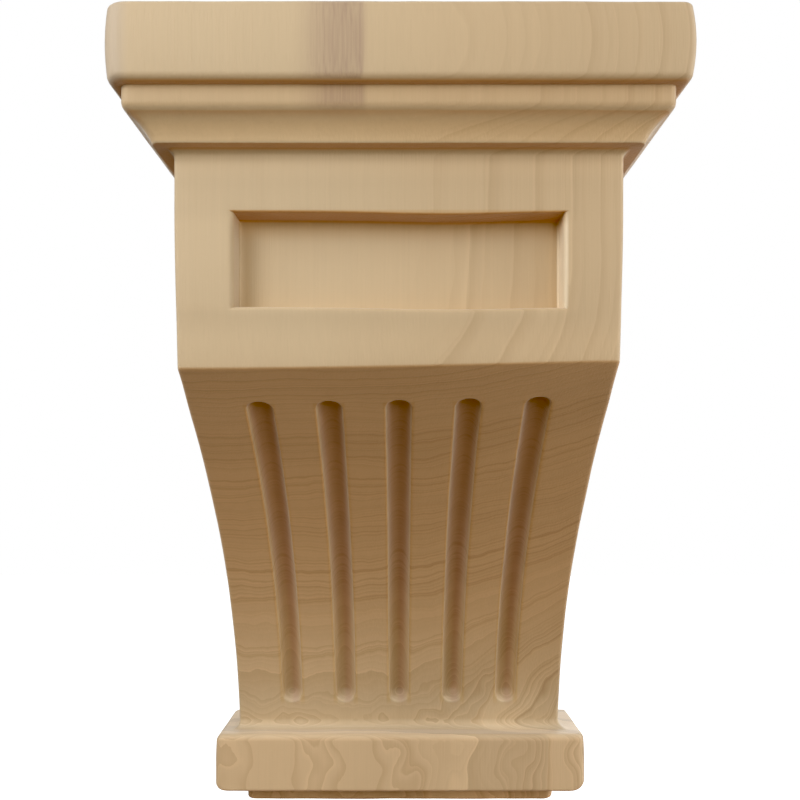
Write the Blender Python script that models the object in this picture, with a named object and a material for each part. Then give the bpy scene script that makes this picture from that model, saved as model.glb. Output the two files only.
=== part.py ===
"""A carved wooden corbel, worked from one block.

A square cap overhangs a fillet and a shallow cove. Below them is a frieze block with a sunk panel, then a
concave face with five flutes, and at the foot a plinth on a lower tier. The back is flat, for the wall.

Metres, +Z up. The origin is the middle of the back face, and the front faces -Y.
"""

import math

import bmesh
import bpy
from mathutils import Matrix, Vector

# Overall size
CORBEL_WIDTH = 0.1104
CORBEL_DEPTH = 0.1016
CORBEL_HEIGHT = 0.1778

# Cap, which carries the load on its top face
CAP_HEIGHT = 0.0146
CAP_SWELL = 0.0003
CAP_TOP_ROUND = 0.0007
CAP_UNDER_ROUND = 0.0015
HEAD_CORNER_ROUND = 0.0018

# Fillet, cove and bed under the cap, which step back to the frieze on the front and both sides
CAP_LIP = 0.0027
FILLET_HEIGHT = 0.0040
COVE_REACH = 0.0046
COVE_HEIGHT = 0.0052
COVE_TURN = math.radians(48)
BED_LIP = 0.0035

# Frieze block, whose face rolls back a little above the knee
FRIEZE_HEIGHT = 0.0426
ROLL_HEIGHT = 0.0226
ROLL_BACK = 0.0015
KNEE_ROUND = 0.0018
BODY_CORNER_ROUND = 0.0009

# Sunk panel in the frieze
PANEL_SIDE_MARGIN = 0.0118
PANEL_TOP_MARGIN = 0.0121
PANEL_FOOT_MARGIN = 0.0120
PANEL_DEPTH = 0.0055

# Concave face, from the knee in to the foot: its slopes from level, and its pulls as shares of its chord
FOOT_DEPTH = 0.0197
FACE_TOP_SLOPE = math.radians(32)
FACE_FOOT_SLOPE = math.radians(80)
FACE_TOP_PULL = 0.39
FACE_FOOT_PULL = 0.30
FOOT_COVE = 0.0012

# Flutes, spread evenly over the face
FLUTE_COUNT = 5
FLUTE_WIDTH = 0.0055
FLUTE_DEPTH = 0.0027
FLUTE_SIDE_MARGIN = 0.01225
FLUTE_TOP_GAP = 0.0115
FLUTE_FOOT_GAP = 0.0058

# Plinth and the lower tier
PLINTH_HEIGHT = 0.0154
PLINTH_SIDE_REACH = 0.0058
PLINTH_FRONT_REACH = 0.0067
PLINTH_TOP_ROUND = 0.0018
PLINTH_UNDER_ROUND = 0.0012
PLINTH_CORNER_ROUND = 0.0018
TIER_HEIGHT = 0.0049
TIER_INSET = 0.0075
TIER_UNDER_ROUND = 0.0010

# Sizes that follow from those above
HEAD_REACH = BED_LIP + COVE_REACH + CAP_LIP
BODY_SIDE = CORBEL_WIDTH / 2 - HEAD_REACH
FRIEZE_DEPTH = CORBEL_DEPTH - HEAD_REACH
PLINTH_SIDE = BODY_SIDE + PLINTH_SIDE_REACH
PLINTH_DEPTH = FOOT_DEPTH + PLINTH_FRONT_REACH

# Levels, from the top down
TOP_Z = CORBEL_HEIGHT / 2
FILLET_Z = TOP_Z - CAP_HEIGHT
COVE_Z = FILLET_Z - FILLET_HEIGHT
BED_Z = COVE_Z - COVE_HEIGHT
KNEE_Z = BED_Z - FRIEZE_HEIGHT
BASE_Z = -CORBEL_HEIGHT / 2
TIER_Z = BASE_Z + TIER_HEIGHT
PLINTH_Z = TIER_Z + PLINTH_HEIGHT

# Fineness of the facets
ROUND_STEPS = 3
CORNER_STEPS = 4
SWELL_STEPS = 4
COVE_STEPS = 7
ROLL_STEPS = 4
FACE_STEPS = 22
FLUTE_STEPS = 20
FLUTE_SIDES = 20
FLUTE_END_STEPS = 4
FLUTE_END_LATITUDE = math.radians(78)

CUT_CLEARANCE = 0.002
SHARP_EDGE = math.radians(35)
WOOD_COLOUR = (0.57, 0.40, 0.23, 1)
WOOD_ROUGHNESS = 0.58


def clear_scene():
    for item in list(bpy.data.objects):
        bpy.data.objects.remove(item, do_unlink=True)


def wood_material():
    material = bpy.data.materials.new("wood")
    material.use_nodes = True
    shader = material.node_tree.nodes["Principled BSDF"]
    shader.inputs["Base Color"].default_value = WOOD_COLOUR
    shader.inputs["Roughness"].default_value = WOOD_ROUGHNESS
    shader.inputs["Metallic"].default_value = 0
    return material


def arc(start, end, turn, steps):
    """The points of an arc between two points, which turns left by this angle on the way."""
    chord = end - start
    to_left = Vector((-chord.y, chord.x))
    centre = (start + end) / 2 + to_left / (2 * math.tan(turn / 2))
    arm = start - centre
    return [centre + Matrix.Rotation(turn * step / steps, 2) @ arm for step in range(steps + 1)]


def rounded(before, corner, after, radius, steps=ROUND_STEPS):
    """The arc that rounds the corner between two straight runs."""
    back = (before - corner).normalized()
    onward = (after - corner).normalized()
    opening = back.angle(onward)
    reach = radius / math.tan(opening / 2)
    turn = math.copysign(math.pi - opening, back.y * onward.x - back.x * onward.y)
    return arc(corner + back * reach, corner + onward * reach, turn, steps)


def bezier(start, start_pull, end_pull, end, steps):
    """The points of a curve that leaves and reaches its ends along the two pulls."""
    points = []
    for step in range(steps + 1):
        t = step / steps
        near = start * (1 - t) ** 3 + (start + start_pull) * 3 * t * (1 - t) ** 2
        far = (end + end_pull) * 3 * t**2 * (1 - t) + end * t**3
        points.append(near + far)
    return points


def along(points, distance):
    """The place on a run of points this far from its start, and the direction there."""
    for here, after in zip(points, points[1:]):
        step = (after - here).length
        if distance <= step:
            break
        distance -= step
    direction = (after - here).normalized()
    return here + direction * distance, direction


def face_curve(steps):
    """The concave face as depth and height, from the knee down to the cove on the plinth."""
    knee = Vector((FRIEZE_DEPTH - ROLL_BACK, KNEE_Z))
    foot = Vector((FOOT_DEPTH, PLINTH_Z + FOOT_COVE))
    chord = (knee - foot).length
    inward = Vector((-math.cos(FACE_TOP_SLOPE), -math.sin(FACE_TOP_SLOPE)))
    upward = Vector((math.cos(FACE_FOOT_SLOPE), math.sin(FACE_FOOT_SLOPE)))
    return bezier(knee, inward * chord * FACE_TOP_PULL, upward * chord * FACE_FOOT_PULL, foot, steps)


def head_profile():
    """Cap, fillet and cove as reach beyond the frieze and height, from the top face down."""
    cap_reach = HEAD_REACH - CAP_SWELL
    fillet_reach = BED_LIP + COVE_REACH
    cap_top = Vector((cap_reach, TOP_Z))
    cap_foot = Vector((cap_reach, FILLET_Z))
    top = rounded(Vector((0, TOP_Z)), cap_top, cap_foot, CAP_TOP_ROUND)
    under = rounded(cap_top, cap_foot, Vector((0, FILLET_Z)), CAP_UNDER_ROUND)
    swell_turn = 4 * math.atan(2 * CAP_SWELL / (top[-1] - under[0]).length)
    swell = arc(top[-1], under[0], -swell_turn, SWELL_STEPS)[1:-1]
    fillet = Vector((fillet_reach, FILLET_Z))
    cove = arc(Vector((fillet_reach, COVE_Z)), Vector((BED_LIP, BED_Z)), COVE_TURN, COVE_STEPS)
    return top + swell + under + [fillet] + cove


def body_profile():
    """Frieze and concave face as depth and height, from the bed down to the cove on the plinth."""
    face = face_curve(FACE_STEPS)
    roll_top = Vector((FRIEZE_DEPTH, KNEE_Z + ROLL_HEIGHT))
    roll_turn = 2 * math.atan(ROLL_BACK / ROLL_HEIGHT)
    roll = arc(roll_top, face[0], -roll_turn, ROLL_STEPS)
    knee = rounded(roll[-2], face[0], face[1], KNEE_ROUND)
    return [Vector((FRIEZE_DEPTH, BED_Z))] + roll[:-1] + knee + face[1:]


def plinth_profile():
    """Plinth and lower tier as reach beyond the plinth's faces and height."""
    plinth_top = Vector((0, PLINTH_Z))
    plinth_foot = Vector((0, TIER_Z))
    tier_top = Vector((-TIER_INSET, TIER_Z))
    tier_foot = Vector((-TIER_INSET, BASE_Z))
    top = rounded(Vector((-TIER_INSET, PLINTH_Z)), plinth_top, plinth_foot, PLINTH_TOP_ROUND)
    under = rounded(plinth_top, plinth_foot, tier_top, PLINTH_UNDER_ROUND)
    inner = tier_foot - Vector((TIER_INSET, 0))
    foot = rounded(tier_top, tier_foot, inner, TIER_UNDER_ROUND)
    return top + under + [tier_top] + foot


def section(side, depth, height, corner):
    """A level section of the corbel: square at the wall, with its two front corners rounded."""
    points = [(side, 0, height)]
    for across, first in ((1, 0), (-1, 90)):
        for step in range(CORNER_STEPS + 1):
            angle = math.radians(first + 90 * step / CORNER_STEPS)
            x = across * (side - corner) + corner * math.cos(angle)
            y = -(depth - corner) - corner * math.sin(angle)
            points.append((x, y, height))
    points.append((-side, 0, height))
    return points


def corbel_sections():
    """Every section from the top face to the underside."""
    sections = []
    for point in head_profile():
        side = BODY_SIDE + point.x
        sections.append(section(side, FRIEZE_DEPTH + point.x, point.y, HEAD_CORNER_ROUND))
    for point in body_profile():
        sections.append(section(BODY_SIDE, point.x, point.y, BODY_CORNER_ROUND))
    foot_cove = arc(Vector((0, PLINTH_Z + FOOT_COVE)), Vector((FOOT_COVE, PLINTH_Z)), math.pi / 2, ROUND_STEPS)
    for point in foot_cove[1:]:
        side = BODY_SIDE + point.x
        sections.append(section(side, FOOT_DEPTH + point.x, point.y, BODY_CORNER_ROUND))
    for point in plinth_profile():
        side = PLINTH_SIDE + point.x
        sections.append(section(side, PLINTH_DEPTH + point.x, point.y, PLINTH_CORNER_ROUND))
    return sections


def skin(name, sections, open_back=False):
    """A closed solid over sections that have the same number of points, with one flat back if they are open."""
    shape = bmesh.new()
    loops = [[shape.verts.new(point) for point in points] for points in sections]
    for upper, lower in zip(loops, loops[1:]):
        for here in range(1 if open_back else 0, len(upper)):
            shape.faces.new((upper[here - 1], lower[here - 1], lower[here], upper[here]))
    shape.faces.new(loops[0])
    shape.faces.new(reversed(loops[-1]))
    if open_back:
        shape.faces.new([loop[-1] for loop in loops] + [loop[0] for loop in reversed(loops)])
    bmesh.ops.recalc_face_normals(shape, faces=shape.faces)
    mesh = bpy.data.meshes.new(name)
    shape.to_mesh(mesh)
    shape.free()
    item = bpy.data.objects.new(name, mesh)
    bpy.context.collection.objects.link(item)
    return item


def panel_cutter():
    """The box that sinks the panel into the frieze."""
    width = 2 * (BODY_SIDE - PANEL_SIDE_MARGIN)
    top = BED_Z - PANEL_TOP_MARGIN
    foot = KNEE_Z + PANEL_FOOT_MARGIN
    depth = PANEL_DEPTH + CUT_CLEARANCE
    middle_y = -(FRIEZE_DEPTH + CUT_CLEARANCE - depth / 2)
    bpy.ops.mesh.primitive_cube_add(size=1, location=(0, middle_y, (top + foot) / 2))
    cutter = bpy.context.object
    cutter.name = "panel_cutter"
    cutter.dimensions = (width, depth, top - foot)
    return cutter


def flute_cutter(number):
    """A round bar that follows the concave face, with ball ends, for one flute."""
    curve = face_curve(FACE_STEPS)
    length = sum((after - here).length for here, after in zip(curve, curve[1:]))
    half_width = FLUTE_WIDTH / 2
    radius = (half_width**2 + FLUTE_DEPTH**2) / (2 * FLUTE_DEPTH)
    start = FLUTE_TOP_GAP + half_width
    end = length - FLUTE_FOOT_GAP - half_width
    stations = []
    for step in range(FLUTE_END_STEPS, 0, -1):
        latitude = FLUTE_END_LATITUDE * step / FLUTE_END_STEPS
        stations.append((start - radius * math.sin(latitude), radius * math.cos(latitude)))
    for step in range(FLUTE_STEPS + 1):
        stations.append((start + (end - start) * step / FLUTE_STEPS, radius))
    for step in range(1, FLUTE_END_STEPS + 1):
        latitude = FLUTE_END_LATITUDE * step / FLUTE_END_STEPS
        stations.append((end + radius * math.sin(latitude), radius * math.cos(latitude)))
    pitch = 2 * (BODY_SIDE - FLUTE_SIDE_MARGIN - half_width) / max(FLUTE_COUNT - 1, 1)
    middle_x = (number - (FLUTE_COUNT - 1) / 2) * pitch
    rings = []
    for distance, size in stations:
        place, direction = along(curve, distance)
        outward = Vector((-direction.y, direction.x))
        centre = place + outward * (radius - FLUTE_DEPTH)
        ring = []
        for side in range(FLUTE_SIDES):
            angle = 2 * math.pi * side / FLUTE_SIDES
            spot = centre + outward * size * math.sin(angle)
            ring.append((middle_x + size * math.cos(angle), -spot.x, spot.y))
        rings.append(ring)
    return skin(f"flute_cutter_{number + 1}", rings)


def cut(target, cutter):
    cutter.hide_render = True
    cutter.display_type = "WIRE"
    modifier = target.modifiers.new(cutter.name, "BOOLEAN")
    modifier.operation = "DIFFERENCE"
    modifier.solver = "EXACT"
    modifier.object = cutter


def main():
    clear_scene()
    corbel = skin("corbel", corbel_sections(), open_back=True)
    corbel.data.materials.append(wood_material())
    cut(corbel, panel_cutter())
    for number in range(FLUTE_COUNT):
        cut(corbel, flute_cutter(number))
    corbel.data.shade_smooth()
    corbel.data.set_sharp_from_angle(angle=SHARP_EDGE)


main()
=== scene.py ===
import math
from collections import namedtuple

import bmesh
import bpy
from mathutils import Matrix, Vector, noise

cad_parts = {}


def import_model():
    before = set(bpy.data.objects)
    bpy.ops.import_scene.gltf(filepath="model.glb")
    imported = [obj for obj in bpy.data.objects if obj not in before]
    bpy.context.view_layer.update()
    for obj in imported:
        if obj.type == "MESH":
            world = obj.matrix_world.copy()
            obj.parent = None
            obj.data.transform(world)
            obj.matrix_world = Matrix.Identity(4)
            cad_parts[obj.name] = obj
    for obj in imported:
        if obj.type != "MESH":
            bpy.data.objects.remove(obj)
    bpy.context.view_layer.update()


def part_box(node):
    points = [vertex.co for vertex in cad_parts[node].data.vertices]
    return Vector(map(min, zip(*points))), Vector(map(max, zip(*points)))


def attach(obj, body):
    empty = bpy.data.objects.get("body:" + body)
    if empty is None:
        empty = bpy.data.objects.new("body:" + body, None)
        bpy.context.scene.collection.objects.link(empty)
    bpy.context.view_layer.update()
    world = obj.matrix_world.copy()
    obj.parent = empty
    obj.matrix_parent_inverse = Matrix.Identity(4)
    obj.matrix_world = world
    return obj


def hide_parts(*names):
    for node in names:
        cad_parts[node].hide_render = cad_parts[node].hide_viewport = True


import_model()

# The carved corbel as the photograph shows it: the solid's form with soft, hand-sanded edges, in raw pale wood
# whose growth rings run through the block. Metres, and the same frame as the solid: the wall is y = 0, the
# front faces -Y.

# Overall size, read from the frame
LOW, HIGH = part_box("corbel")
TOP_Z = HIGH[2]
BASE_Z = LOW[2]
CORBEL_DEPTH = HIGH[1] - LOW[1]
CORBEL_WIDTH = HIGH[0] - LOW[0]

# Head: cap, fillet and cove, on the front and both sides
CAP_HEIGHT = 0.0146
CAP_SWELL = 0.0003
CAP_RIGHT_SWELL = 0.0005
CAP_TOP_ROUND = 0.0009
CAP_UNDER_ROUND = 0.0015
CAP_LIP = 0.0027
FILLET_HEIGHT = 0.0040
FILLET_ROUND = 0.0017
COVE_REACH = 0.0046
COVE_HEIGHT = 0.0052
COVE_TURN = math.radians(48)
BED_LIP = 0.0035
BED_ROUND = 0.0005
BED_FILLET = 0.0014
HEAD_CORNER_ROUND = 0.0018
CAP_LEFT_CORNER_ROUND = 0.0036

# Frieze, its roll and the knee
FRIEZE_HEIGHT = 0.0426
ROLL_HEIGHT = 0.0226
ROLL_BACK = 0.0015
KNEE_ROUND = 0.0009
BODY_CORNER_ROUND = 0.0009

# Sunk panel
PANEL_SIDE_MARGIN = 0.0118
PANEL_TOP_MARGIN = 0.0121
PANEL_FOOT_MARGIN = 0.01185
PANEL_DEPTH = 0.0055
PANEL_DRAFT = 0.0002
PANEL_TOP_ARRIS = 0.0004
PANEL_FOOT_ARRIS = 0.0007
PANEL_SIDE_ARRIS = 0.0013
PANEL_FLOOR_ROUND = 0.0005

# Concave face
FOOT_DEPTH = 0.0197
FACE_TOP_SLOPE = math.radians(32)
FACE_FOOT_SLOPE = math.radians(80)
FACE_TOP_PULL = 0.39
FACE_FOOT_PULL = 0.30
FOOT_COVE = 0.0022

# Flutes
FLUTE_COUNT = 5
FLUTE_WIDTH = 0.0055
FLUTE_DEPTH = 0.0027
FLUTE_ARRIS = 0.0005
FLUTE_SIDE_MARGIN = 0.01225
FLUTE_TOP_GAP = 0.0109
FLUTE_FOOT_GAP = 0.0058

# Plinth and lower tier
PLINTH_HEIGHT = 0.0154
PLINTH_SIDE_REACH = 0.0058
PLINTH_FRONT_REACH = 0.0067
PLINTH_TOP_ROUND = 0.0018
PLINTH_UNDER_ROUND = 0.0007
PLINTH_LEFT_TOP_ROUND = 0.0018
PLINTH_RIGHT_TOP_ROUND = 0.0009
PLINTH_LEFT_FOOT_ROUND = 0.0022
PLINTH_RIGHT_FOOT_ROUND = 0.0030
PLINTH_CORNER_ROUND = 0.0018
TIER_HEIGHT = 0.0049
TIER_INSET = 0.0075
TIER_UNDER_ROUND = 0.0010
TIER_RIGHT_FOOT_ROUND = 0.0016

# Hand work: how far the carver's lines wander
KNEE_RISE = 0.0014
KNEE_DROP = 0.0002
PANEL_SAG = 0.0005
PLINTH_SHIFT = 0.0003
FRIEZE_TAPER = 0.0004
PLINTH_SWELL = 0.0003
SANDING_WAVE = 0.00012
SANDING_LENGTH = 0.022

# Sizes and levels that follow
HEAD_REACH = BED_LIP + COVE_REACH + CAP_LIP
BODY_SIDE = CORBEL_WIDTH / 2 - HEAD_REACH
FRIEZE_DEPTH = CORBEL_DEPTH - HEAD_REACH
PLINTH_SIDE = BODY_SIDE + PLINTH_SIDE_REACH
PLINTH_DEPTH = FOOT_DEPTH + PLINTH_FRONT_REACH
FILLET_Z = TOP_Z - CAP_HEIGHT
COVE_Z = FILLET_Z - FILLET_HEIGHT
BED_Z = COVE_Z - COVE_HEIGHT
KNEE_Z = BED_Z - FRIEZE_HEIGHT
TIER_Z = BASE_Z + TIER_HEIGHT
PLINTH_Z = TIER_Z + PLINTH_HEIGHT
PANEL_SIDE = BODY_SIDE - PANEL_SIDE_MARGIN
PANEL_TOP_Z = BED_Z - PANEL_TOP_MARGIN
PANEL_FOOT_Z = KNEE_Z + PANEL_FOOT_MARGIN
FLUTE_RADIUS = ((FLUTE_WIDTH / 2) ** 2 + FLUTE_DEPTH**2) / (2 * FLUTE_DEPTH)
FLUTE_RISE = FLUTE_RADIUS - FLUTE_DEPTH
FLUTE_REACH = math.sqrt((FLUTE_RADIUS + FLUTE_ARRIS) ** 2 - (FLUTE_ARRIS + FLUTE_RISE) ** 2)
FLUTE_PITCH = 2 * (BODY_SIDE - FLUTE_SIDE_MARGIN - FLUTE_WIDTH / 2) / (FLUTE_COUNT - 1)

# Fineness of the mesh
SIDE_STEPS = 14
CORNER_STEPS = 6
FACE_CURVE_STEPS = 240
FLUTE_ROUND_STEPS = 13
FLUTE_ARRIS_STEPS = 5
END_SPACING = 0.00022
FACE_SPACING = 0.0011
PANEL_ROWS = 24

# One level section: how far out its left and right sides and its front lie, its height, the radius of its left
# and right corners, and on the concave face how far past a flute's round end it is, and the way out of the face
Row = namedtuple("Row", "left right depth z left_corner corner face normal")


def even_row(side, depth, z, corner, face=None, normal=None):
    """A section that is the same on its left and its right."""
    return Row(side, side, depth, z, corner, corner, face, normal)


def arc(start, end, turn, steps):
    """The points of an arc between two points, which turns left by this angle on the way."""
    chord = end - start
    to_left = Vector((-chord.y, chord.x))
    centre = (start + end) / 2 + to_left / (2 * math.tan(turn / 2))
    arm = start - centre
    return [centre + Matrix.Rotation(turn * step / steps, 2) @ arm for step in range(steps + 1)]


def rounded(before, corner, after, radius, steps):
    """The arc that rounds the corner between two straight runs."""
    back = (before - corner).normalized()
    onward = (after - corner).normalized()
    opening = back.angle(onward)
    reach = radius / math.tan(opening / 2)
    turn = math.copysign(math.pi - opening, back.y * onward.x - back.x * onward.y)
    return arc(corner + back * reach, corner + onward * reach, turn, steps)


def run(start, end, steps):
    """Points after the start, up to the end, evenly spaced."""
    return [start.lerp(end, step / steps) for step in range(1, steps + 1)]


def face_curve():
    """The concave face as depth and height, from the knee down to the cove on the plinth."""
    knee = Vector((FRIEZE_DEPTH - ROLL_BACK, KNEE_Z))
    foot = Vector((FOOT_DEPTH, PLINTH_Z + FOOT_COVE))
    chord = (knee - foot).length
    near = knee - Vector((math.cos(FACE_TOP_SLOPE), math.sin(FACE_TOP_SLOPE))) * chord * FACE_TOP_PULL
    far = foot + Vector((math.cos(FACE_FOOT_SLOPE), math.sin(FACE_FOOT_SLOPE))) * chord * FACE_FOOT_PULL
    points = []
    for step in range(FACE_CURVE_STEPS + 1):
        t = step / FACE_CURVE_STEPS
        early = knee * (1 - t) ** 3 + near * 3 * t * (1 - t) ** 2
        late = far * 3 * t**2 * (1 - t) + foot * t**3
        points.append(early + late)
    return points


def along(points, distance):
    """The place on a run of points this far from its start, and the direction there."""
    for here, after in zip(points, points[1:]):
        step = (after - here).length
        if distance <= step:
            break
        distance -= step
    direction = (after - here).normalized()
    return here + direction * distance, direction


def head_rows():
    cap_reach = HEAD_REACH - CAP_SWELL
    fillet_reach = BED_LIP + COVE_REACH
    cap_top = Vector((cap_reach, TOP_Z))
    cap_foot = Vector((cap_reach, FILLET_Z))
    fillet_top = Vector((fillet_reach, FILLET_Z))
    fillet_foot = Vector((fillet_reach, COVE_Z))
    bed = Vector((BED_LIP, BED_Z))
    top = rounded(Vector((0, TOP_Z)), cap_top, cap_foot, CAP_TOP_ROUND, 6)
    under = rounded(cap_top, cap_foot, Vector((0, FILLET_Z)), CAP_UNDER_ROUND, 6)
    swell_turn = 4 * math.atan(2 * CAP_SWELL / (top[-1] - under[0]).length)
    swell = arc(top[-1], under[0], -swell_turn, 12)[1:-1]
    cove = arc(fillet_foot, bed, COVE_TURN, 14)
    fillet_edge = rounded(fillet_top, fillet_foot, cove[1], FILLET_ROUND, 3)
    bed_edge = rounded(cove[-2], bed, Vector((0, BED_Z)), BED_ROUND / 2, 3)
    profile = top + swell + under + [fillet_top] + run(fillet_top, fillet_edge[0], 3)[:-1] + fillet_edge
    inner = arc(Vector((BED_FILLET, BED_Z)), Vector((0, BED_Z - BED_FILLET)), math.pi / 2, 6)
    profile += cove[2:-1] + bed_edge + inner
    rows = []
    for point in profile:
        row = even_row(BODY_SIDE + point.x, FRIEZE_DEPTH + point.x, point.y, HEAD_CORNER_ROUND)
        if point.y > FILLET_Z:
            swell = max(point.x - cap_reach, 0)
            right = row.right + swell * (CAP_RIGHT_SWELL / CAP_SWELL - 1)
            row = row._replace(right=right, left_corner=CAP_LEFT_CORNER_ROUND)
        if point.x < BED_FILLET:
            row = row._replace(left_corner=BODY_CORNER_ROUND, corner=BODY_CORNER_ROUND)
        rows.append(row)
    return rows


def frieze_rows(curve):
    """The frieze from under the bed to the knee, with rows on the panel's rim."""
    rim_top = PANEL_TOP_Z + PANEL_TOP_ARRIS
    rim_foot = PANEL_FOOT_Z - PANEL_FOOT_ARRIS
    roll_top = KNEE_Z + ROLL_HEIGHT
    roll_radius = (ROLL_HEIGHT**2 + ROLL_BACK**2) / (2 * ROLL_BACK)

    def surface(z):
        below = max(roll_top - z, 0)
        return FRIEZE_DEPTH - (roll_radius - math.sqrt(roll_radius**2 - below**2))

    knee = Vector((FRIEZE_DEPTH - ROLL_BACK, KNEE_Z))
    above_knee = Vector((surface(KNEE_Z + 0.003), KNEE_Z + 0.003))
    bend = rounded(above_knee, knee, curve[6], KNEE_ROUND, 7)
    start = BED_Z - BED_FILLET
    levels = [start + (rim_top - start) * step / 9 for step in range(1, 9)]
    levels += [rim_top + (rim_foot - rim_top) * step / PANEL_ROWS for step in range(PANEL_ROWS + 1)]
    levels += [rim_foot + (bend[0].y - rim_foot) * step / 9 for step in range(1, 9)]
    profile = [Vector((surface(z), z)) for z in levels] + bend
    return [even_row(BODY_SIDE, point.x, point.y, BODY_CORNER_ROUND) for point in profile]


def face_distances(length):
    """How far along the concave face its rows lie, close together at the flutes' ends."""
    half = FLUTE_WIDTH / 2
    first = FLUTE_TOP_GAP + half
    last = length - FLUTE_FOOT_GAP - half
    marks = [0.0012, first - FLUTE_REACH - 0.0004, first, last, last + FLUTE_REACH + 0.0004, length]
    spacings = [FACE_SPACING, END_SPACING, FACE_SPACING, END_SPACING, FACE_SPACING / 2]
    distances = [marks[0]]
    for start, end, spacing in zip(marks, marks[1:], spacings):
        steps = max(round((end - start) / spacing), 1)
        distances += [start + (end - start) * step / steps for step in range(1, steps + 1)]
    return distances, first, last


def face_rows(curve):
    length = sum((after - here).length for here, after in zip(curve, curve[1:]))
    distances, first, last = face_distances(length)
    rows = []
    for distance in distances:
        place, direction = along(curve, distance)
        beyond = max(first - distance, distance - last, 0)
        normal = Vector((0, direction.y, direction.x))
        rows.append(even_row(BODY_SIDE, place.x, place.y, BODY_CORNER_ROUND, beyond, normal))
    return rows


def edge_inset(distance, radius):
    """How far a rounded edge has drawn a face in, at this distance from where the sharp edge would be."""
    left = min(max(radius - distance, 0), radius)
    return radius - math.sqrt(radius**2 - left**2)


def foot_rows():
    cove = arc(Vector((0, PLINTH_Z + FOOT_COVE)), Vector((FOOT_COVE, PLINTH_Z)), math.pi / 2, 5)
    rows = []
    for point in cove[1:]:
        rows.append(even_row(BODY_SIDE + point.x, FOOT_DEPTH + point.x, point.y, BODY_CORNER_ROUND))
    plinth_top = Vector((0, PLINTH_Z))
    plinth_foot = Vector((0, TIER_Z))
    near_foot = Vector((0, TIER_Z + PLINTH_RIGHT_FOOT_ROUND))
    tier_top = Vector((-TIER_INSET, TIER_Z))
    tier_foot = Vector((-TIER_INSET, BASE_Z))
    top = rounded(Vector((-TIER_INSET, PLINTH_Z)), plinth_top, plinth_foot, PLINTH_TOP_ROUND, 9)
    under = rounded(plinth_top, plinth_foot, tier_top, PLINTH_UNDER_ROUND, 5)
    for point in top + run(top[-1], near_foot, 12) + run(near_foot, under[0], 9)[:-1] + under:
        below = PLINTH_Z - point.y
        above = point.y - TIER_Z
        swell = PLINTH_SWELL * max(1 - below / (PLINTH_HEIGHT / 2), 0) ** 2
        left = edge_inset(below, PLINTH_LEFT_TOP_ROUND) + edge_inset(above, PLINTH_LEFT_FOOT_ROUND) + swell
        right = edge_inset(below, PLINTH_RIGHT_TOP_ROUND) + edge_inset(above, PLINTH_RIGHT_FOOT_ROUND) + swell
        row = even_row(PLINTH_SIDE, PLINTH_DEPTH + point.x, point.y, PLINTH_CORNER_ROUND)
        rows.append(row._replace(left=PLINTH_SIDE - left, right=PLINTH_SIDE - right))
    inner = tier_foot - Vector((TIER_INSET, 0))
    foot = rounded(tier_top, tier_foot, inner, TIER_UNDER_ROUND, 6)
    for point in [tier_top] + run(tier_top, foot[0], 6)[:-1] + foot:
        row = even_row(PLINTH_SIDE + point.x, PLINTH_DEPTH + point.x, point.y, PLINTH_CORNER_ROUND)
        right = TIER_INSET + edge_inset(point.y - BASE_Z, TIER_RIGHT_FOOT_ROUND)
        rows.append(row._replace(right=PLINTH_SIDE - right))
    return rows


def flute_offsets():
    """Places across one flute from its middle to its rim, evenly spread along its hollow and its soft edge."""
    touch = math.asin(FLUTE_REACH / (FLUTE_RADIUS + FLUTE_ARRIS))
    offsets = [FLUTE_RADIUS * math.sin(touch * step / FLUTE_ROUND_STEPS) for step in range(FLUTE_ROUND_STEPS + 1)]
    for step in range(1, FLUTE_ARRIS_STEPS + 1):
        left = touch * (1 - step / FLUTE_ARRIS_STEPS)
        offsets.append(FLUTE_REACH - FLUTE_ARRIS * math.sin(left))
    return offsets


def flute_middles():
    return [(number - (FLUTE_COUNT - 1) / 2) * FLUTE_PITCH for number in range(FLUTE_COUNT)]


def front_columns():
    """Places across the front, from right to left, with columns on every flute and on the panel's rim."""
    inner = set()
    for middle in flute_middles():
        for offset in flute_offsets():
            inner.add(round(middle + offset, 7))
            inner.add(round(middle - offset, 7))
    edge = BODY_SIDE - BODY_CORNER_ROUND
    rims = [PANEL_SIDE + PANEL_SIDE_ARRIS, -PANEL_SIDE - PANEL_SIDE_ARRIS]
    marks = sorted(inner | set(rims) | {edge, -edge})
    columns = [marks[0]]
    for here, after in zip(marks, marks[1:]):
        steps = max(math.ceil((after - here) / 0.0013), 1)
        columns += [here + (after - here) * step / steps for step in range(1, steps + 1)]
    return columns[::-1], rims


def flute_hollow(distance):
    """How deep a flute is at this distance from its middle line."""
    if distance >= FLUTE_REACH:
        return 0.0
    touch = FLUTE_RADIUS * FLUTE_REACH / (FLUTE_RADIUS + FLUTE_ARRIS)
    if distance >= touch:
        return FLUTE_ARRIS - math.sqrt(FLUTE_ARRIS**2 - (FLUTE_REACH - distance) ** 2)
    return math.sqrt(FLUTE_RADIUS**2 - distance**2) - FLUTE_RISE


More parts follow.
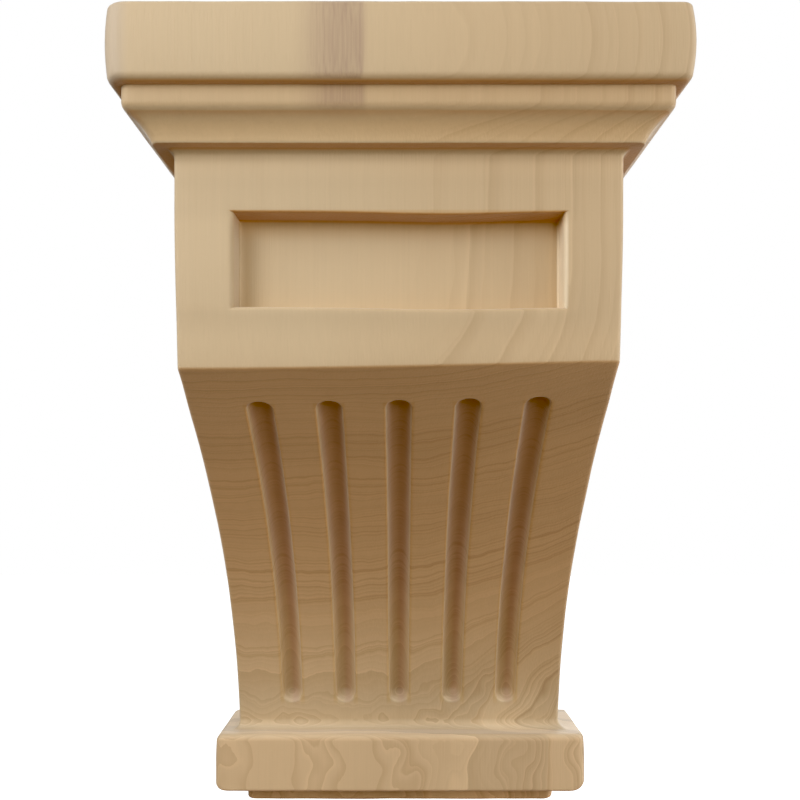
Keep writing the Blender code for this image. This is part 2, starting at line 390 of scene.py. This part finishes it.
def row_points(row, columns):
    """One section's points, from the wall on the right round the front to the wall on the left."""
    edge = BODY_SIDE - BODY_CORNER_ROUND
    fixed = PANEL_SIDE + PANEL_SIDE_ARRIS
    middles = flute_middles()

    def side_and_corner(way, side, corner):
        straight = row.depth - corner
        points = [Vector((way * side, -straight * step / SIDE_STEPS, row.z)) for step in range(SIDE_STEPS)]
        for step in range(CORNER_STEPS):
            angle = math.pi / 2 * step / CORNER_STEPS
            x = side - corner + corner * math.cos(angle)
            points.append(Vector((way * x, -straight - corner * math.sin(angle), row.z)))
        return points

    points = side_and_corner(1, row.right, row.corner)
    for x in columns:
        across = x
        if abs(x) > fixed:
            reach = row.right - row.corner if x > 0 else row.left - row.left_corner
            across = math.copysign(fixed + (abs(x) - fixed) * (reach - fixed) / (edge - fixed), x)
        place = Vector((across, -row.depth, row.z))
        if row.normal is not None:
            beside = min(abs(x - middle) for middle in middles)
            place -= row.normal * flute_hollow(math.hypot(beside, row.face))
        points.append(place)
    return points + side_and_corner(-1, row.left, row.left_corner)[::-1]


def smooth_step(low, high, value):
    """0 at the low value and before it, 1 at the high one and past it, and smooth between, either way round."""
    t = min(max((value - low) / (high - low), 0), 1)
    return t * t * (3 - 2 * t)


def hand_lines(place):
    """Moves a point as the carver left it: a knee that rises to the right, a frieze that narrows towards it, a panel
    whose level lines sag, and a plinth that stands a little to the right."""
    x, z = place.x, place.z
    rise = KNEE_RISE * min(max((x + 0.039) / 0.078, 0), 1) ** 1.6 - KNEE_DROP
    near_knee = smooth_step(0.030, 0.004, abs(z - KNEE_Z)) if z < KNEE_Z else smooth_step(0.010, 0.002, z - KNEE_Z)
    sag = -PANEL_SAG * math.exp(-(((x - 0.009) / 0.017) ** 2))
    near_panel = smooth_step(0.018, 0.010, abs(z - (PANEL_TOP_Z + PANEL_FOOT_Z) / 2))
    shift = PLINTH_SHIFT * smooth_step(PLINTH_Z + FOOT_COVE, PLINTH_Z, z)
    down_frieze = smooth_step(BED_Z - 0.010, KNEE_Z + 0.004, z) if z > KNEE_Z else smooth_step(-0.009, 0, z - KNEE_Z)
    at_side = smooth_step(0.036, BODY_SIDE - BODY_CORNER_ROUND, abs(x))
    shift -= math.copysign(FRIEZE_TAPER, x) * down_frieze * at_side
    return Vector((shift, 0, rise * near_knee + sag * near_panel))


def panel_rings(boundary):
    """The panel's rings as lists of points, from its rim over its soft edges and down its walls to its floor."""
    arris = {"side": PANEL_SIDE_ARRIS, "top": PANEL_TOP_ARRIS, "foot": PANEL_FOOT_ARRIS}
    rim_side = PANEL_SIDE + arris["side"]
    rim_top = PANEL_TOP_Z + arris["top"]
    rim_foot = PANEL_FOOT_Z - arris["foot"]
    wall_foot = PANEL_DEPTH - PANEL_FLOOR_ROUND
    steps = []
    for step in range(1, 8):
        angle = math.pi / 2 * step / 7
        steps.append((math.sin(angle), 1 - math.cos(angle), 0.0, 0.0))
    for step in range(1, 7):
        steps.append((1.0, 1.0, PANEL_DRAFT * step / 6, step / 6))
    for step in range(1, 4):
        angle = math.pi / 2 * step / 3
        steps.append((1.0, 1.0, PANEL_DRAFT + PANEL_FLOOR_ROUND * (1 - math.cos(angle)), 1 + math.sin(angle)))
    rings = []
    for over, sunk, inward, down in steps:
        half_width = rim_side - arris["side"] * over - inward
        top = rim_top - arris["top"] * over - inward
        foot = rim_foot + arris["foot"] * over + inward
        ring = []
        for point in boundary:
            from_side = abs(point.x) / rim_side
            from_top = (rim_top - point.z) / (rim_top - rim_foot)
            edge_sizes = (("side", 1 - from_side), ("top", from_top), ("foot", 1 - from_top))
            softness = arris[min(edge_sizes, key=lambda pair: pair[1])[0]]
            depth = softness * sunk + (wall_foot - softness) * min(down, 1) + PANEL_FLOOR_ROUND * max(down - 1, 0)
            flatten = depth / PANEL_DEPTH
            surface = point.y * (1 - flatten) - FRIEZE_DEPTH * flatten
            ring.append(Vector((point.x * half_width / rim_side, surface + depth, top + (foot - top) * from_top)))
        rings.append(ring)
    return rings


def sanding(place, normal):
    """A slight wave over the surface, as sanding by hand leaves it."""
    where = Vector(place)
    where.z *= 0.6
    wave = noise.noise(where / SANDING_LENGTH) + 0.35 * noise.noise(where / (SANDING_LENGTH * 0.3))
    return normal * wave * SANDING_WAVE


def carve():
    """The whole corbel as one closed mesh."""
    curve = face_curve()
    rows = head_rows() + frieze_rows(curve) + face_rows(curve) + foot_rows()
    columns, rims = front_columns()
    first_front = SIDE_STEPS + CORNER_STEPS
    panel_left = first_front + min(range(len(columns)), key=lambda i: abs(columns[i] - rims[0]))
    panel_right = first_front + min(range(len(columns)), key=lambda i: abs(columns[i] - rims[1]))
    levels = [row.z for row in rows]
    on_frieze = [i for i, row in enumerate(rows) if row.z < BED_Z and row.z > KNEE_Z]
    panel_top = min(on_frieze, key=lambda i: abs(levels[i] - PANEL_TOP_Z - PANEL_TOP_ARRIS))
    panel_foot = min(on_frieze, key=lambda i: abs(levels[i] - PANEL_FOOT_Z + PANEL_FOOT_ARRIS))

    shape = bmesh.new()
    grid = [[shape.verts.new(point) for point in row_points(row, columns)] for row in rows]
    for i, (upper, lower) in enumerate(zip(grid, grid[1:])):
        for j in range(len(upper) - 1):
            if panel_top <= i < panel_foot and panel_left <= j < panel_right:
                continue
            shape.faces.new((upper[j], lower[j], lower[j + 1], upper[j + 1]))
    shape.faces.new(grid[0])
    shape.faces.new(reversed(grid[-1]))
    shape.faces.new([row[-1] for row in grid] + [row[0] for row in reversed(grid)])

    rim = [grid[panel_top][j] for j in range(panel_left, panel_right)]
    rim += [grid[i][panel_right] for i in range(panel_top, panel_foot)]
    rim += [grid[panel_foot][j] for j in range(panel_right, panel_left, -1)]
    rim += [grid[i][panel_left] for i in range(panel_foot, panel_top, -1)]
    above = rim
    for ring in panel_rings([vert.co.copy() for vert in rim]):
        below = [shape.verts.new(point) for point in ring]
        for j in range(len(below)):
            shape.faces.new((above[j - 1], below[j - 1], below[j], above[j]))
        above = below

    across = panel_right - panel_left
    down = panel_foot - panel_top
    top_edge = above[: across + 1]
    right_edge = above[across : across + down + 1]
    foot_edge = above[across + down : 2 * across + down + 1][::-1]
    left_edge = [above[0]] + above[2 * across + down :][::-1]
    floor = [top_edge]
    for i in range(1, down):
        line = [left_edge[i]]
        for j in range(1, across):
            place = Vector((top_edge[j].co.x, top_edge[j].co.y, left_edge[i].co.z))
            line.append(shape.verts.new(place))
        line.append(right_edge[i])
        floor.append(line)
    floor.append(foot_edge)
    for upper, lower in zip(floor, floor[1:]):
        for j in range(across):
            shape.faces.new((upper[j], lower[j], lower[j + 1], upper[j + 1]))

    bmesh.ops.recalc_face_normals(shape, faces=shape.faces)
    shape.normal_update()
    moves = []
    for vert in shape.verts:
        move = hand_lines(vert.co)
        if vert.co.z < TOP_Z - 1e-6 and vert.co.z > BASE_Z + 1e-6:
            move += sanding(vert.co, vert.normal)
        if vert.co.y > -1e-6:
            move.y = 0
        moves.append(move)
    for vert, move in zip(shape.verts, moves):
        vert.co += move
    mesh = bpy.data.meshes.new("corbel_carving")
    shape.to_mesh(mesh)
    shape.free()
    mesh.shade_smooth()
    mesh.set_sharp_from_angle(angle=math.radians(38))
    piece = bpy.data.objects.new("corbel_carving", mesh)
    bpy.context.scene.collection.objects.link(piece)
    return piece


class Nodes:
    """Short calls that add nodes to one material's tree and link them."""

    def __init__(self, tree):
        self.tree = tree

    def put(self, socket, value):
        if isinstance(value, bpy.types.NodeSocket):
            self.tree.links.new(value, socket)
        else:
            socket.default_value = value

    def math(self, operation, first, second=0.0, third=0.0):
        node = self.tree.nodes.new("ShaderNodeMath")
        node.operation = operation
        for socket, value in zip(node.inputs, (first, second, third)):
            self.put(socket, value)
        return node.outputs[0]

    def vector(self, operation, first, second=(0.0, 0.0, 0.0)):
        node = self.tree.nodes.new("ShaderNodeVectorMath")
        node.operation = operation
        self.put(node.inputs[0], first)
        self.put(node.inputs[1], second)
        return node.outputs[0]

    def split(self, vector):
        node = self.tree.nodes.new("ShaderNodeSeparateXYZ")
        self.put(node.inputs[0], vector)
        return node.outputs

    def join(self, x, y, z):
        node = self.tree.nodes.new("ShaderNodeCombineXYZ")
        for socket, value in zip(node.inputs, (x, y, z)):
            self.put(socket, value)
        return node.outputs[0]

    def noise(self, place, stretch, detail=2.0, rough=0.5, shift=0.0):
        """Noise from about -1 to 1, with features this many millimetres long in x, y and z."""
        node = self.tree.nodes.new("ShaderNodeTexNoise")
        scaled = self.vector("DIVIDE", place, stretch)
        self.put(node.inputs["Vector"], self.vector("ADD", scaled, (shift, shift * 0.7, shift * 1.3)))
        node.inputs["Scale"].default_value = 1.0
        node.inputs["Detail"].default_value = detail
        node.inputs["Roughness"].default_value = rough
        return self.math("MULTIPLY_ADD", node.outputs["Fac"], 2.0, -1.0)

    def chance(self, value, shift=0.0):
        """An even random number from 0 to 1 for each whole value."""
        node = self.tree.nodes.new("ShaderNodeTexWhiteNoise")
        node.noise_dimensions = "1D"
        self.put(node.inputs["W"], self.math("ADD", value, shift))
        return node.outputs["Value"]

    def ramp(self, value, low, high):
        """0 below the low value, 1 above the high one, and smooth between."""
        node = self.tree.nodes.new("ShaderNodeMapRange")
        node.interpolation_type = "SMOOTHSTEP"
        self.put(node.inputs["Value"], value)
        self.put(node.inputs["From Min"], low)
        self.put(node.inputs["From Max"], high)
        return node.outputs["Result"]

    def mix(self, share, first, second):
        node = self.tree.nodes.new("ShaderNodeMix")
        node.data_type = "RGBA"
        self.put(node.inputs["Factor"], share)
        self.put(node.inputs["A"], first)
        self.put(node.inputs["B"], second)
        return node.outputs["Result"]


# Wood colours, in linear light
PALE_WOOD = (0.575, 0.438, 0.273, 1)
# Warmer, darker wood: the wood's own tone, and painted shade on the right
WARM_SHADED_WOOD = (0.545, 0.400, 0.240, 1)
DARK_WOOD = (0.400, 0.270, 0.150, 1)
# End grain on down-facing faces, with painted shade in it
END_GRAIN_AND_SHADE_WOOD = (0.590, 0.352, 0.172, 1)
DARK_END_GRAIN_AND_SHADE_WOOD = (0.420, 0.225, 0.098, 1)
STREAK_WOOD = (0.395, 0.280, 0.192, 1)
# Painted highlight on the panel's right wall and the plinth's ledge
PAINTED_HIGHLIGHT_WOOD = (0.780, 0.640, 0.450, 1)
# Painted sheen on the cap's rounded left corner
SHEEN_GREY_WOOD = (0.480, 0.395, 0.310, 1)


def wood_material():
    """Pale sanded wood. Its grain runs up the corbel, and its rings bend towards the right."""
    material = bpy.data.materials.new("raw_wood")
    material.use_nodes = True
    tree = material.node_tree
    shader = tree.nodes["Principled BSDF"]
    make = Nodes(tree)
    coordinates = tree.nodes.new("ShaderNodeTexCoord")
    place = make.vector("MULTIPLY", coordinates.outputs["Object"], (1000.0, 1000.0, 1000.0))
    x, y, z = make.split(place)

    # Distance across the rings, in millimetres: they lie flat to the front on the left, bend towards the wall on
    # the right, wave on the concave face, and curl more and more towards the foot
    past = make.math("MAXIMUM", make.math("ADD", x, 8.0), 0.0)
    bend = make.math("DIVIDE", make.math("MULTIPLY", past, past), 250.0)
    slow = make.noise(place, (30.0, 30.0, 130.0), 1.0)
    quick = make.noise(place, (11.0, 11.0, 24.0), 2.0, 0.5, 3.1)
    curl = make.noise(place, (12.0, 12.0, 14.0), 1.0, 0.45, 6.4)
    ripple = make.noise(place, (3.8, 3.8, 8.0), 1.0, 0.5, 8.8)
    fine = make.noise(place, (1.6, 1.6, 9.0), 1.0, 0.5, 7.7)
    off_back = make.ramp(y, -0.3, -1.5)
    near_foot = make.math("MULTIPLY", make.ramp(z, -38.0, -68.0), off_back)
    across = make.math("SUBTRACT", make.math("MULTIPLY", y, -1.0), bend)
    across = make.math("MULTIPLY_ADD", slow, 1.3, across)
    below_knee = make.ramp(z, 26.0, 18.0)
    on_plinth = make.ramp(z, -66.5, -69.5)
    quick_size = make.math("MULTIPLY_ADD", on_plinth, -0.8, make.math("MULTIPLY_ADD", below_knee, 1.0, 0.2))
    across = make.math("MULTIPLY_ADD", quick, quick_size, across)
    ripple_size = make.math("MULTIPLY", make.math("SUBTRACT", below_knee, on_plinth), 0.30)
    across = make.math("MULTIPLY_ADD", ripple, ripple_size, across)
    across = make.math("MULTIPLY_ADD", make.math("MULTIPLY", curl, near_foot), 2.4, across)
    across = make.math("MULTIPLY_ADD", fine, 0.09, across)

    # Rings: each darkens slowly and ends in a sharp step to a lighter one. Few are strong, and no two are alike
    unevenness = make.noise(make.join(across, 0.0, 0.0), (4.5, 4.5, 4.5), 0.0, 0.5, 2.3)
    count = make.math("DIVIDE", make.math("MULTIPLY_ADD", unevenness, 1.1, across), 2.1)
    number = make.math("FLOOR", count)
    within = make.math("FRACT", count)
    strength = make.math("MULTIPLY_ADD", make.math("POWER", make.chance(number, 0.5), 2.5), 0.85, 0.15)
    line = make.math("MULTIPLY", make.ramp(within, 0.62, 0.97), make.ramp(within, 1.0, 0.97))
    line = make.math("MULTIPLY", line, strength)
    edge = make.math("MULTIPLY", make.ramp(within, 0.10, 0.02), strength)
    small = make.math("DIVIDE", across, 0.62)
    small_strength = make.math("POWER", make.chance(make.math("FLOOR", small), 11.5), 2.0)
    small_line = make.math("MULTIPLY", make.ramp(make.math("FRACT", small), 0.3, 1.0), small_strength)
    tone_size = make.math("MULTIPLY_ADD", near_foot, 0.12, 0.045)

    # The left of the head is nearly plain
    above_knee = make.math("SUBTRACT", 1.0, below_knee)
    plain = make.math("MULTIPLY_ADD", make.math("MULTIPLY", above_knee, make.ramp(x, 14.0, -6.0)), -0.8, 1.0)
    line = make.math("MULTIPLY", line, plain)
    edge = make.math("MULTIPLY", edge, plain)
    small_line = make.math("MULTIPLY", small_line, plain)
    tone_size = make.math("MULTIPLY", tone_size, plain)
    chance = make.chance(number, 4.5)
    island = make.math("SUBTRACT", make.ramp(chance, 0.5, 0.62), 0.2)
    spread = make.math("SUBTRACT", chance, 0.5)
    change = make.math("MULTIPLY", make.math("SUBTRACT", island, spread), near_foot)
    tone = make.math("MULTIPLY", make.math("ADD", spread, change), tone_size)
    band = make.noise(make.join(across, 0.0, make.math("MULTIPLY", z, 0.02)), (13.0, 13.0, 13.0), 2.0, 0.6, 5.0)

    # Fibres run up the grain
    fibre = make.noise(place, (0.42, 0.42, 26.0), 2.0, 0.6, 1.3)
    coarse_fibre = make.noise(place, (1.9, 1.9, 70.0), 2.0, 0.55, 9.2)

    # One dark mineral streak, left of the middle at the head
    wander = make.math("MULTIPLY_ADD", coarse_fibre, 1.0, x)
    streak = make.math("MULTIPLY", make.ramp(wander, -20.5, -12.0), make.ramp(wander, -5.6, -7.0))
    streak = make.math("MULTIPLY", streak, make.ramp(z, 68.5, 71.5))
    streak = make.math("MULTIPLY", streak, make.math("MULTIPLY_ADD", fibre, 0.7, 0.72))

    # Faces that turn downwards take a darker, warmer colour: partly end grain, where the surface cuts across the
    # fibres, and partly painted shade, as up-facing end grain keeps the paler side colour
    geometry = tree.nodes.new("ShaderNodeNewGeometry")
    turned = tree.nodes.new("ShaderNodeVectorTransform")
    turned.vector_type = "NORMAL"
    turned.convert_from = "WORLD"
    turned.convert_to = "OBJECT"
    tree.links.new(geometry.outputs["Normal"], turned.inputs[0])
    sideways, outward, facing = make.split(turned.outputs[0])
    end_grain_and_shade = make.ramp(facing, -0.03, -0.76)
    at_front = make.ramp(outward, -0.1, -0.5)

    # On the head only the undersides take the darker colour: painted shade under the cap and the bed
    at_head = make.ramp(z, 57.0, 62.0)
    shaded_underside = make.ramp(facing, -0.72, -0.96)
    change = make.math("SUBTRACT", shaded_underside, end_grain_and_shade)
    end_grain_and_shade = make.math("MULTIPLY_ADD", make.math("MULTIPLY", at_head, change), 0.85, end_grain_and_shade)

    # Painted highlight: the panel's right wall, which faces the lights on the left, and the plinth's up-facing ledge
    # are painted paler
    in_panel = make.math("MULTIPLY", make.ramp(z, 32.5, 34.5), make.ramp(z, 53.5, 50.0))
    in_panel = make.math("MULTIPLY", in_panel, make.math("MULTIPLY", make.ramp(x, 36.5, 34.5), off_back))
    lit_right_wall = make.math("MULTIPLY", make.math("MULTIPLY", in_panel, make.ramp(x, 28.0, 31.0)),
                           make.ramp(sideways, -0.2, -0.75))
    lit_ledge = make.math("MULTIPLY", make.ramp(facing, 0.3, 0.8), make.math("MULTIPLY", near_foot, 0.3))
    painted_highlight = make.math("MAXIMUM", lit_right_wall, lit_ledge)
    # Painted shade on the panel's left wall, which faces away from the lights on the left
    shaded_left_wall = make.math("MULTIPLY", make.math("MULTIPLY", in_panel, make.ramp(x, -28.0, -31.0)),
                          make.ramp(sideways, 0.2, 0.75))
    # Painted shade: the panel's floor just under its top wall, where the wall's shadow falls
    panel_top = make.math("MULTIPLY", make.ramp(z, 48.0, 52.8), make.ramp(z, 53.5, 53.1))
    panel_top = make.math("MULTIPLY", panel_top, off_back)
    panel_top = make.math("MULTIPLY", panel_top, make.ramp(make.math("ABSOLUTE", x), 33.0, 32.4))

    # Distance from the nearest flute's middle line, and how far up or down the flutes
    pitch = FLUTE_PITCH * 1000
    turns = make.math("DIVIDE", x, pitch)
    beside = make.math("MULTIPLY", make.math("SUBTRACT", turns, make.math("ROUND", turns)), pitch)
    flute_top = make.ramp(make.math("MULTIPLY_ADD", x, -0.016, z), 16.8, 16.2)
    on_flutes = make.math("MULTIPLY", make.ramp(make.math("ABSOLUTE", x), 35.5, 34.0), flute_top)
    on_flutes = make.math("MULTIPLY", on_flutes, make.ramp(z, -62.6, -59.6))
    on_flutes = make.math("MULTIPLY", on_flutes, make.ramp(y, -8.0, -12.0))
    in_flute = make.math("MULTIPLY", on_flutes, make.ramp(make.math("ABSOLUTE", beside), 2.7, 2.3))
    # Where the painted shade lies across each flute, a little right of its middle line
    shaded_core = make.ramp(make.math("ABSOLUTE", make.math("SUBTRACT", beside, 0.75)), 1.7, 0.2)
    from_middle = make.math("ABSOLUTE", beside)
    rim = make.math("MULTIPLY", make.ramp(from_middle, 2.0, 2.5), make.ramp(from_middle, 3.6, 3.1))
    rim = make.math("MULTIPLY", rim, on_flutes)
    high_flute = make.math("MULTIPLY", in_flute, make.ramp(z, -48.0, -10.0))
    # Painted shade in the flutes' hollows, stronger lower down
    painted_flute_shade = make.math("MULTIPLY", make.math("MULTIPLY", shaded_core, on_flutes),
                       make.math("MULTIPLY_ADD", make.ramp(z, 8.0, -40.0), 0.75, 0.25))

    low_ramp = make.ramp(z, 24.0, -8.0)
    small_size = make.math("MULTIPLY_ADD", low_ramp, 0.18, make.math("MULTIPLY_ADD", below_knee, 0.16, 0.14))
    line_size = make.math("MULTIPLY_ADD", below_knee, 0.16, 0.34)
    dark = make.math("MULTIPLY_ADD", small_line, small_size, make.math("MULTIPLY", line, line_size))
    dark = make.math("MULTIPLY", dark, make.math("MULTIPLY_ADD", in_flute, -0.45, 1.0))
    # Warmer and darker towards the right: partly tone that wanders at random, partly painted shade on the side away
    # from the lights on the left; warmer near the foot too
    warmth_and_shade = make.math("MULTIPLY_ADD", slow, 0.3, make.ramp(x, -25.0, 40.0))
    warmth_and_shade = make.math("MAXIMUM", warmth_and_shade, make.math("MULTIPLY", near_foot, 0.8))
    side_colour = make.mix(warmth_and_shade, PALE_WOOD, WARM_SHADED_WOOD)
    side_colour = make.mix(dark, side_colour, DARK_WOOD)
    side_colour = make.mix(streak, side_colour, STREAK_WOOD)
    # End-grain colour with painted shade, for faces that turn downwards
    shaded_end_colour = make.mix(dark, END_GRAIN_AND_SHADE_WOOD, DARK_END_GRAIN_AND_SHADE_WOOD)
    # Painted shade: faces that look straight down, the soffits, darker and warmer still
    shaded_end_colour = make.mix(make.ramp(facing, -0.88, -0.97), shaded_end_colour,
                          make.vector("MULTIPLY", shaded_end_colour, (0.93, 0.84, 0.74)))
    colour = make.mix(end_grain_and_shade, side_colour, shaded_end_colour)
    # Painted highlight on the panel's right wall and the plinth's ledge
    colour = make.mix(painted_highlight, colour, PAINTED_HIGHLIGHT_WOOD)
    # Painted sheen: the cap's rounded left corner greyer, as grazing light leaves it
    corner = make.math("MULTIPLY", make.ramp(x, -49.5, -52.5), make.ramp(z, 73.5, 75.0))
    colour = make.mix(make.math("MULTIPLY", corner, 0.45), colour, SHEEN_GREY_WOOD)
    colour = make.mix(painted_flute_shade, colour, make.vector("MULTIPLY", colour, (0.90, 0.83, 0.88)))
    colour = make.mix(rim, colour, make.vector("MULTIPLY", colour, (0.97, 0.92, 0.82)))
    colour = make.mix(high_flute, colour, make.vector("MULTIPLY", colour, (1.0, 1.02, 1.22)))
    # Painted light: warm bounce light on the tier, which sits in the plinth's shade
    lit_tier = make.math("MULTIPLY", make.ramp(z, -83.6, -84.2), off_back)
    colour = make.mix(lit_tier, colour, make.vector("MULTIPLY", colour, (1.16, 1.05, 0.97)))
    upward = make.ramp(facing, 0.3, 0.8)
    # Painted shade: the plinth's front and sides a little darker, as less light reaches so low
    shaded_plinth = make.math("MULTIPLY", on_plinth, make.math("SUBTRACT", 1.0, upward))
    shaded_plinth = make.math("MULTIPLY", shaded_plinth, off_back)
    colour = make.mix(shaded_plinth, colour, make.vector("MULTIPLY", colour, (1.0, 0.96, 0.94)))
    # Painted sheen: the foot of the concave face, above the plinth, paler and cooler
    foot_sheen = make.math("MULTIPLY", make.ramp(z, -54.0, -63.0), make.ramp(z, -69.0, -68.0))
    foot_sheen = make.math("MULTIPLY", foot_sheen, off_back)
    colour = make.mix(foot_sheen, colour, make.vector("MULTIPLY", colour, (0.99, 1.03, 1.08)))
    at_cove = make.math("MULTIPLY", make.ramp(z, 65.2, 65.7), make.ramp(z, 70.6, 67.5))
    at_cove = make.math("MULTIPLY", at_cove, off_back)
    colour = make.mix(at_cove, colour, make.vector("MULTIPLY", colour, (1.15, 1.10, 1.02)))
    # Painted shade under the panel's top wall, darker and warmer
    colour = make.mix(panel_top, colour, make.vector("MULTIPLY", colour, (0.98, 0.90, 0.80)))
    at_fillet = make.math("MULTIPLY", make.ramp(z, 70.2, 70.8), make.ramp(z, 74.6, 74.0))
    at_fillet = make.math("MULTIPLY", at_fillet, off_back)
    colour = make.mix(at_fillet, colour, make.vector("MULTIPLY", colour, (0.99, 0.94, 0.88)))
    light = make.math("MULTIPLY_ADD", fibre, 0.035, 1.0)
    light = make.math("MULTIPLY_ADD", coarse_fibre, 0.030, light)
    light = make.math("MULTIPLY_ADD", band, 0.07, light)
    light = make.math("MULTIPLY_ADD", edge, make.math("MULTIPLY_ADD", near_foot, 0.06, 0.06), light)
    light = make.math("MULTIPLY_ADD", near_foot, -0.05, light)
    light = make.math("MULTIPLY_ADD", make.math("MULTIPLY", upward, near_foot), -0.10, light)
    # Painted shade: the panel's left wall darker
    light = make.math("MULTIPLY_ADD", shaded_left_wall, -0.17, light)
    # Painted light: the cap's front paler from the middle to the left, towards the lights
    lit_cap = make.math("MULTIPLY", make.math("MULTIPLY", make.ramp(z, 74.5, 75.5), at_front), make.ramp(x, 40.0, 5.0))
    light = make.math("MULTIPLY_ADD", lit_cap, 0.05, light)
    right_end = make.math("MULTIPLY", make.math("MULTIPLY", on_plinth, at_front), make.ramp(x, 10.0, 22.0))
    light = make.math("MULTIPLY_ADD", right_end, 0.09, light)
    # Painted light: the sunk panel a little paler, against the shade of its walls
    light = make.math("MULTIPLY_ADD", in_panel, 0.05, light)
    left = make.math("MULTIPLY", below_knee, make.ramp(x, 8.0, -35.0))
    light = make.math("MULTIPLY_ADD", left, 0.08, light)
    small_edge = make.math("MULTIPLY", make.ramp(make.math("FRACT", small), 0.3, 0.05), small_strength)
    light = make.math("MULTIPLY_ADD", make.math("MULTIPLY", small_edge, low_ramp), 0.09, light)

    # Painted light: paler on the foot, on the frieze's roll above the knee, and on the frieze just under the bed,
    # where the bed's shadow falls
    foot = make.math("MULTIPLY", make.ramp(z, -54.0, -63.0), make.ramp(z, -68.4, -67.4))
    foot = make.math("MULTIPLY", foot, off_back)
    light = make.math("MULTIPLY_ADD", foot, 0.07, light)
    above = make.math("MULTIPLY", make.ramp(z, 34.0, 27.0), make.math("MULTIPLY", above_knee, at_front))
    light = make.math("MULTIPLY_ADD", above, 0.10, light)
    under = make.math("MULTIPLY", make.ramp(z, 58.0, 63.0), make.ramp(z, 64.6, 63.9))
    light = make.math("MULTIPLY_ADD", make.math("MULTIPLY", under, at_front), 0.11, light)
    light = make.math("ADD", light, tone)
    make.put(shader.inputs["Base Color"], make.vector("MULTIPLY", colour, make.join(light, light, light)))
    make.put(shader.inputs["Roughness"], make.math("MULTIPLY_ADD", fibre, 0.05, 0.60))
    shader.inputs["Specular IOR Level"].default_value = 0.5
    shader.inputs["Sheen Weight"].default_value = 0.5
    shader.inputs["Sheen Roughness"].default_value = 0.45

    bump = tree.nodes.new("ShaderNodeBump")
    bump.inputs["Strength"].default_value = 0.35
    bump.inputs["Distance"].default_value = 0.0001
    relief = make.math("MULTIPLY_ADD", edge, 0.5, make.math("MULTIPLY_ADD", line, -0.5, fibre))
    make.put(bump.inputs["Height"], relief)
    make.put(shader.inputs["Normal"], bump.outputs["Normal"])
    return material


# The darkest red, green and blue that the photograph still shows, in linear light
BLACK_LEVEL = (0.03, 0.04, 0.045)

# Camera: level, at half the corbel's height, straight before it, with the view raised by a lens shift
CAMERA_DISTANCE = 0.2619
CAMERA_Z = -0.0004
CAMERA_FOCAL_PIXELS = 870.0
FRAME_PIXELS = 800.0
VANISHING_X_PIXELS = 398.8
VANISHING_Y_PIXELS = 483.0
SENSOR = 36.0


def camera():
    data = bpy.data.cameras.new("camera")
    data.sensor_width = SENSOR
    data.lens = SENSOR * CAMERA_FOCAL_PIXELS / FRAME_PIXELS
    data.shift_x = (FRAME_PIXELS / 2 - VANISHING_X_PIXELS) / FRAME_PIXELS
    data.shift_y = (VANISHING_Y_PIXELS - FRAME_PIXELS / 2) / FRAME_PIXELS
    data.clip_start = 0.01
    item = bpy.data.objects.new("camera", data)
    item.location = (0, -CAMERA_DISTANCE, CAMERA_Z)
    item.rotation_euler = (math.radians(90), 0, 0)
    bpy.context.scene.collection.objects.link(item)
    bpy.context.scene.camera = item


def soft_light(name, azimuth, elevation, distance, size, power, colour=(1, 1, 1)):
    """A square soft light that faces the corbel. Azimuth 0 is straight in front, and positive is to the right."""
    data = bpy.data.lights.new(name, "AREA")
    data.size = size
    data.energy = power
    data.color = colour
    item = bpy.data.objects.new(name, data)
    a, e = math.radians(azimuth), math.radians(elevation)
    item.location = Vector((math.sin(a) * math.cos(e), -math.cos(a) * math.cos(e), math.sin(e))) * distance
    item.rotation_euler = (-item.location).to_track_quat("-Z", "Y").to_euler()
    bpy.context.scene.collection.objects.link(item)


def world():
    """A white surround, which lights the corbel only a little."""
    sky = bpy.data.worlds.new("studio")
    bpy.context.scene.world = sky
    sky.use_nodes = True
    tree = sky.node_tree
    path = tree.nodes.new("ShaderNodeLightPath")
    strength = Nodes(tree).mix(path.outputs["Is Camera Ray"], (0.18, 0.18, 0.18, 1), (1, 1, 1, 1))
    tree.links.new(strength, tree.nodes["Background"].inputs["Color"])


def floor():
    bpy.ops.mesh.primitive_plane_add(size=6, location=(0, 0, -0.35))
    plane = bpy.context.object
    plane.name = "studio_floor"
    material = bpy.data.materials.new("pale_floor")
    material.use_nodes = True
    shader = material.node_tree.nodes["Principled BSDF"]
    shader.inputs["Base Color"].default_value = (0.93, 0.93, 0.93, 1)
    shader.inputs["Emission Color"].default_value = (1, 1, 1, 1)
    shader.inputs["Emission Strength"].default_value = 1.0
    shader.inputs["Roughness"].default_value = 0.9
    plane.data.materials.append(material)
    plane.visible_diffuse = False
    plane.visible_glossy = False


def photo_tones():
    """Deepens the darks a little, as the photograph's tones are."""
    settings = bpy.context.scene.view_settings
    settings.view_transform = "Standard"
    settings.use_curve_mapping = True
    settings.curve_mapping.black_level = BLACK_LEVEL
    settings.curve_mapping.update()


camera()
soft_light("left", -75, 5, 0.6, 0.35, 0.5)
soft_light("left_high", -50, 38, 0.6, 0.3, 0.85)
soft_light("key", -38, 22, 0.6, 0.25, 1.15)
soft_light("front", 15, 10, 0.6, 0.25, 0.46)
soft_light("front_right", 30, 10, 0.6, 0.35, 0.3)
soft_light("right_low", 60, 0, 0.6, 0.35, 0.45)
soft_light("right_high", 65, 30, 0.6, 0.5, 0.95)
soft_light("right", 85, 0, 0.6, 0.5, 1.7)
soft_light("back", 170, 30, 0.9, 0.8, 5.0)
world()
floor()
photo_tones()

carving = carve()
carving.data.materials.append(wood_material())
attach(carving, "root")
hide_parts("corbel")
